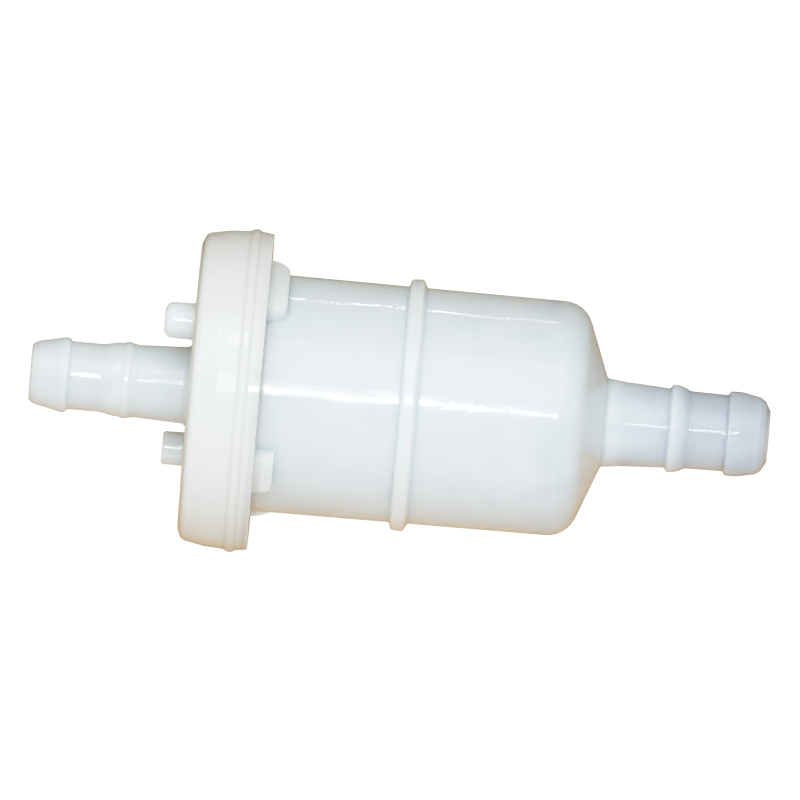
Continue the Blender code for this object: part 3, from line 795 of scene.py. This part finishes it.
def moulded_nylon(name, finish):
    """Uncoloured nylon 6, injection moulded: milky, bluish in a thin wall and whiter in a thick
    one, with soft light inside it, a semi-gloss skin, faint sink waves and handling scuffs."""
    material, tree, shader, coordinates = new_material(name)
    wall = add(tree, "ShaderNodeAttribute", attribute_name="wall").outputs["Fac"]
    cloud = noise(tree, coordinates, 7.0, detail=3.0)
    shift = ranged(tree, cloud, 0.3, 0.7, -0.12, 0.12)
    depth = add(tree, "ShaderNodeMath", {0: wall, 1: shift}, operation="ADD").outputs[0]
    # The low wall values towards the inlet's tip make this mix paint shade there, with the thin
    # tone
    thin = ranged(tree, depth, 1.3, 1.95, 0, 1)
    thin = blended(tree, thin, finish.nylon_thin, finish.nylon_wall)
    thick = ranged(tree, depth, 2.1, 4.2, 0, 1)
    base = blended(tree, thick, thin, finish.nylon_thick)
    tree.links.new(base, shader.inputs["Base Color"])

    scuff_place = add(tree, "ShaderNodeMapping", {"Vector": coordinates, "Scale": (0.5, 1, 1)})
    scuffs = noise(tree, scuff_place.outputs[0], 1.4, detail=3.0)
    roughness = ranged(tree, scuffs, 0.4, 0.75, 0.08, 0.16)
    tree.links.new(roughness, shader.inputs["Roughness"])

    waves = noise(tree, coordinates, 5.0, detail=0.0)
    patches = ranged(tree, noise(tree, coordinates, 6.0, detail=1.0), 0.5, 0.62, 0.0, 0.35)
    rough_patches = {0: patches, 1: ranged(tree, wall, 3.6, 5.0, 1.0, 2.2)}
    patches = add(tree, "ShaderNodeMath", rough_patches, operation="MULTIPLY").outputs[0]
    peel = noise(tree, coordinates, 0.7, detail=1.0)
    peel = add(tree, "ShaderNodeMath", {0: peel, 1: patches}, operation="MULTIPLY").outputs[0]
    height = add(tree, "ShaderNodeMath", {0: waves, 1: peel}, operation="ADD").outputs[0]
    bump = add(tree, "ShaderNodeBump", {"Height": height, "Strength": 1.0, "Distance": 0.08 * MM})
    tree.links.new(bump.outputs[0], shader.inputs["Normal"])

    shader.subsurface_method = "RANDOM_WALK"
    tree.links.new(ranged(tree, wall, 3.6, 5.0, 1.0, 0.1), shader.inputs["Subsurface Weight"])
    shader.inputs["Subsurface Radius"].default_value = (0.92, 0.96, 1.0)
    shader.inputs["Subsurface Scale"].default_value = 3.0 * MM
    shader.inputs["IOR"].default_value = 1.53
    return material


def plain_moulding(name, colour, size, roughness, tint, bump_height, metallic=0.0):
    """A skin with two tones of one colour, uneven gloss and a little relief."""
    material, tree, shader, coordinates = new_material(name)
    tone = noise(tree, coordinates, size, detail=4.0)
    base = blended(tree, ranged(tree, tone, 0.3, 0.7, 0, 1), colour, srgb(tint))
    tree.links.new(base, shader.inputs["Base Color"])
    gloss = ranged(tree, tone, 0.3, 0.7, roughness - 0.06, roughness + 0.06)
    tree.links.new(gloss, shader.inputs["Roughness"])
    relief = noise(tree, coordinates, size / 4, detail=3.0)
    bump = add(tree, "ShaderNodeBump", {"Height": relief, "Distance": bump_height * MM})
    tree.links.new(bump.outputs[0], shader.inputs["Normal"])
    shader.inputs["Metallic"].default_value = metallic
    return material


def made(name, maker, *values):
    """The material of that name, made the first time it is asked for."""
    return bpy.data.materials.get(name) or maker(name, *values)


def nylon(scene):
    return made("Moulded natural nylon", moulded_nylon, scene.filter_finish)


# --- Operators -------------------------------------------------------------------------------
class FILTER_OT_housing(bpy.types.Operator):
    """Turns the bowl with its stem, rib, flange and lugs"""

    bl_idname = "fuel_filter.housing"
    bl_label = "Housing"

    def execute(self, context):
        case = context.scene.filter_case
        outline, rises = housing_outline(case)
        lug_end = FLANGE_REAR + case.lug_length / MM + LUG_SOFTNESS
        piece = turned(
            "bowl", outline, HOUSING_WALLS_AND_SHADE, case.facets, nylon(context.scene), rises, lug_end
        )
        placed(piece, "housing")
        return {"FINISHED"}


class FILTER_OT_cap(bpy.types.Operator):
    """Turns the cap with its stem, and joins the two pegs to its face"""

    bl_idname = "fuel_filter.cap"
    bl_label = "Cap"

    def execute(self, context):
        case = context.scene.filter_case
        material = nylon(context.scene)
        blank = turned("cap blank", rounded(cap_corners(case)), CAP_WALLS, case.facets, material)
        pegs = []
        for angle, radius, length, rounding in PEGS:
            outline = rounded(peg_corners(radius, length, rounding))
            peg = turned("peg", outline, PEG_WALLS, PEG_FACETS, material)
            turn = math.radians(angle)
            reach = PEG_PITCH_RADIUS * MM
            place = (0, -reach * math.cos(turn), reach * math.sin(turn))
            peg.data.transform(Matrix.Translation(place))
            union = blank.modifiers.new("Peg", "BOOLEAN")
            union.operation = "UNION"
            union.solver = "EXACT"
            union.object = peg
            pegs.append(peg)
        piece = finished("cover", evaluated_mesh(blank, "cover"))
        mark_walls(piece.data)
        for peg in pegs:
            bpy.data.objects.remove(peg, do_unlink=True)
        placed(piece, "cap")
        return {"FINISHED"}


class FILTER_OT_bead(bpy.types.Operator):
    """Turns the ring of melted nylon between the two halves"""

    bl_idname = "fuel_filter.bead"
    bl_label = "Weld bead"

    def execute(self, context):
        facets = context.scene.filter_case.facets
        outline = rounded(bead_corners())
        piece = turned("weld_ring", outline, BEAD_WALLS, facets, nylon(context.scene))
        placed(piece, "weld_bead")
        return {"FINISHED"}


class FILTER_OT_element(bpy.types.Operator):
    """Folds the paper, makes the perforated tube, and finishes the element's other pieces"""

    bl_idname = "fuel_filter.element"
    bl_label = "Element"

    def execute(self, context):
        finish = context.scene.filter_finish
        # Acetal: waxy, off-white, almost smooth
        acetal = made("Moulded acetal", plain_moulding, finish.acetal, 3, 0.32, "#E2DFD4", 0.01)
        # Filter paper: dull and fibrous, gone yellow with its phenolic resin
        paper = ("Resin-treated paper", plain_moulding, finish.paper, 0.8, 0.85, "#C9A868", 0.05)
        paper = made(*paper)
        # Epoxy: glossy amber that has flowed level
        resin = made("Cast epoxy", plain_moulding, finish.resin, 4, 0.25, "#A87836", 0.02)
        # Nitrile rubber: near black and satin
        rubber = made("Moulded nitrile", plain_moulding, finish.rubber, 1.5, 0.6, "#26262A", 0.02)
        # Tinplate: bright metal with faint cloudy patches from rolling
        tin = ("Rolled tinplate", plain_moulding, finish.tinplate, 2, 0.3, "#AEB2B6", 0.01, 1.0)
        tin = made(*tin)
        materials = {
            "carrier_gasket": rubber,
            "element_carrier": acetal,
            "end_plate": acetal,
            "outlet_potting": resin,
            "inlet_potting": resin,
            "seam_clip": tin,
        }
        for name, material in materials.items():
            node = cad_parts[name]
            node.data.materials.clear()
            node.data.materials.append(material)
        star = ring_of("paper_star", pleat_unit(), PLEATS, paper)
        placed(star, "pleated_paper")
        tube = ring_of("window_tube", tube_unit(), TUBE_COLUMNS, acetal)
        placed(tube, "centre_tube")
        return {"FINISHED"}


class FILTER_OT_stage(bpy.types.Operator):
    """Sets up the floor, the soft light and the camera"""

    bl_idname = "fuel_filter.stage"
    bl_label = "Studio"

    def execute(self, context):
        studio = context.scene.filter_studio
        pale_floor(studio)
        soft_world(context.scene, studio)
        highlight_lamps()
        side_camera(context.scene, studio)
        return {"FINISHED"}


FLOOR_REACH = 3.0  # metres, from the part to the floor's edges


def pale_floor(studio):
    """A white sheet under the part. It glows a little, so that it stays pale from all sides."""
    mesh = bpy.data.meshes.new("floor")
    corners = [(x * FLOOR_REACH, y * FLOOR_REACH) for x, y in ((-1, -1), (1, -1), (1, 1), (-1, 1))]
    mesh.from_pydata([(x, y, FLOOR_HEIGHT) for x, y in corners], [], [(0, 1, 2, 3)])
    floor = bpy.data.objects.new("floor", mesh)
    bpy.context.scene.collection.objects.link(floor)
    material, tree, shader, coordinates = new_material("Matt white paper sheet")
    tone = noise(tree, coordinates, 40.0)
    base = blended(tree, ranged(tree, tone, 0.3, 0.7, 0, 1), srgb("#6C6C6C"), srgb("#727272"))
    tree.links.new(base, shader.inputs["Base Color"])
    shader.inputs["Roughness"].default_value = 0.9
    shader.inputs["Specular IOR Level"].default_value = 0.0
    shader.inputs["Emission Color"].default_value = (*studio.floor, 1)
    shader.inputs["Emission Strength"].default_value = 1.05
    mesh.materials.append(material)
    floor.visible_diffuse = False
    floor.visible_glossy = False


def soft_world(scene, studio):
    """Soft light all round: full in front, weaker behind, warm below; white where it is seen."""
    world = bpy.data.worlds.new("Soft tent")
    scene.world = world
    world.use_nodes = True
    tree = world.node_tree
    tree.nodes.clear()
    heading = add(tree, "ShaderNodeTexCoord").outputs["Generated"]
    parts = add(tree, "ShaderNodeSeparateXYZ", {0: heading}).outputs
    forward = {0: parts["Y"], 1: -1.0}
    forward = add(tree, "ShaderNodeMath", forward, operation="MULTIPLY").outputs[0]
    above = ranged(tree, parts["Z"], -0.15, 0.15, 0, 1)
    top = ranged(tree, forward, -0.3, 0.75, 0, 1)
    bottom = ranged(tree, forward, -0.5, 0.35, 0, 1)
    weight = add(tree, "ShaderNodeMix", {"Factor": above, 2: bottom, 3: top}).outputs[0]
    behind = blended(tree, above, tuple(studio.low), tuple(studio.back))
    colour = blended(tree, weight, behind, tuple(studio.front))
    light = add(tree, "ShaderNodeBackground", {"Color": colour, "Strength": 0.8})
    seen = add(tree, "ShaderNodeBackground", {"Color": (1, 1, 1, 1), "Strength": 1.25})
    path = add(tree, "ShaderNodeLightPath").outputs["Is Camera Ray"]
    mixed = add(tree, "ShaderNodeMixShader", {0: path, 1: light.outputs[0], 2: seen.outputs[0]})
    add(tree, "ShaderNodeOutputWorld", {"Surface": mixed.outputs[0]})
    camera_response(scene)


# How the camera renders light: (light, tone) pairs that lift and flatten the bright tones
RESPONSE = ((0.0, 0.0), (0.3, 0.27), (0.5, 0.55), (0.7, 0.78), (0.85, 0.88), (1.0, 0.96))


def camera_response(scene):
    """Sets the tones of the picture by a curve on all three colours at once."""
    view = scene.view_settings
    view.view_transform = "Standard"
    view.use_curve_mapping = True
    curve = view.curve_mapping.curves[3]  # the one for all colours
    curve.points[0].location = RESPONSE[0]
    curve.points[1].location = RESPONSE[-1]
    for light, tone in RESPONSE[1:-1]:
        curve.points.new(light, tone)
    view.curve_mapping.extend = "EXTRAPOLATED"
    view.curve_mapping.update()


def lamp(name, place, width, height, radiance, glossy=True, colour="#FFFFFF"):
    """A rectangular lamp of a given brightness that faces the part."""
    light = bpy.data.lights.new(name, "AREA")
    light.shape = "RECTANGLE"
    light.size = width
    light.size_y = height
    light.energy = radiance * math.pi * width * height
    light.color = srgb(colour)
    holder = bpy.data.objects.new(name, light)
    holder.location = place
    holder.rotation_euler = Vector(place).to_track_quat("Z", "Y").to_euler()
    holder.visible_camera = False
    holder.visible_glossy = glossy
    bpy.context.scene.collection.objects.link(holder)


LAMP_DISTANCE = 0.8  # metres
# Lamps whose reflections run along the part: (middle along X, length, up angle in degrees,
# height in degrees, brightness), the lengths in millimetres
STRIPS = (
    (40.0, 320.0, 2.6, 1.3, 28.0),
    (-6.0, 7.0, 4.4, 13.0, 20.0),
    (-39.2, 4.0, 5.0, 16.0, 30.0),
    (-60.0, 20.0, 3.0, 8.0, 30.0),
    (0.9, 15.0, 106.8, 0.7, 45.0),
    (20.0, 17.0, 106.8, 0.7, 9.0),
    (-215.0, 200.0, 36.5, 6.0, 3.0),
    (-130.0, 30.0, 5.0, 14.0, 5.0),
)


def highlight_lamps():
    """Large soft boxes that model the part, and narrow strips that draw its highlights."""
    lamp("Soft box", (0, -0.62, 0.42), 0.9, 0.55, 0.8)
    lamp("Low box", (0, -0.5, -0.6), 0.9, 0.5, 0.35, colour="#FFD9B0")
    lamp("Rear box", (0.2, 1.2, 0.2), 0.6, 0.5, 9.0, glossy=False)
    for k, (x, length, up, height, radiance) in enumerate(STRIPS):
        turn = math.radians(up)
        place = (x * MM, -LAMP_DISTANCE * math.cos(turn), LAMP_DISTANCE * math.sin(turn))
        tall = LAMP_DISTANCE * math.radians(height)
        lamp(f"Strip {k + 1}", place, length * MM, tall, radiance)


AIM_RIGHT = 0.0625  # millimetres from the middle of the part to the middle of the picture
AIM_UP = 0.54


def side_camera(scene, studio):
    """A long lens square to the part's side, rolled about its view."""
    camera = bpy.data.cameras.new("Camera")
    camera.lens = studio.lens
    holder = bpy.data.objects.new("Camera", camera)
    scene.collection.objects.link(holder)
    right = Vector((math.cos(studio.roll), 0, math.sin(studio.roll)))
    up = Vector((-math.sin(studio.roll), 0, math.cos(studio.roll)))
    back = right.cross(up)
    distance = studio.lens * studio.view_width / camera.sensor_width
    place = right * AIM_RIGHT * MM + up * AIM_UP * MM + back * distance
    turn = Matrix((right, up, back)).transposed().to_4x4()
    holder.matrix_world = Matrix.Translation(place) @ turn
    scene.camera = holder


class FILTER_PT_panel(bpy.types.Panel):
    """Lists the pieces in the order they are built"""

    bl_idname = "FILTER_PT_panel"
    bl_label = "Fuel filter"
    bl_space_type = "VIEW_3D"
    bl_region_type = "UI"
    bl_category = "Fuel filter"

    def draw(self, context):
        for operator in OPERATORS:
            self.layout.operator(operator.bl_idname)
        for group in (getattr(context.scene, name) for name in GROUPS):
            for name in group.bl_rna.properties.keys():
                if name not in {"rna_type", "name"}:
                    self.layout.prop(group, name)


OPERATORS = (
    FILTER_OT_housing,
    FILTER_OT_cap,
    FILTER_OT_bead,
    FILTER_OT_element,
    FILTER_OT_stage,
)
CLASSES = (FilterCaseSizes, FilterFinish, FilterStudio, *OPERATORS, FILTER_PT_panel)
GROUPS = {
    "filter_case": FilterCaseSizes,
    "filter_finish": FilterFinish,
    "filter_studio": FilterStudio,
}


def register():
    for kind in CLASSES:
        bpy.utils.register_class(kind)
    for name, kind in GROUPS.items():
        setattr(bpy.types.Scene, name, PointerProperty(type=kind))


def unregister():
    for name in GROUPS:
        delattr(bpy.types.Scene, name)
    for kind in reversed(CLASSES):
        bpy.utils.unregister_class(kind)


def main():
    register()
    bpy.ops.fuel_filter.housing()
    bpy.ops.fuel_filter.cap()
    bpy.ops.fuel_filter.bead()
    bpy.ops.fuel_filter.element()
    bpy.ops.fuel_filter.stage()


if __name__ == "__main__":
    main()
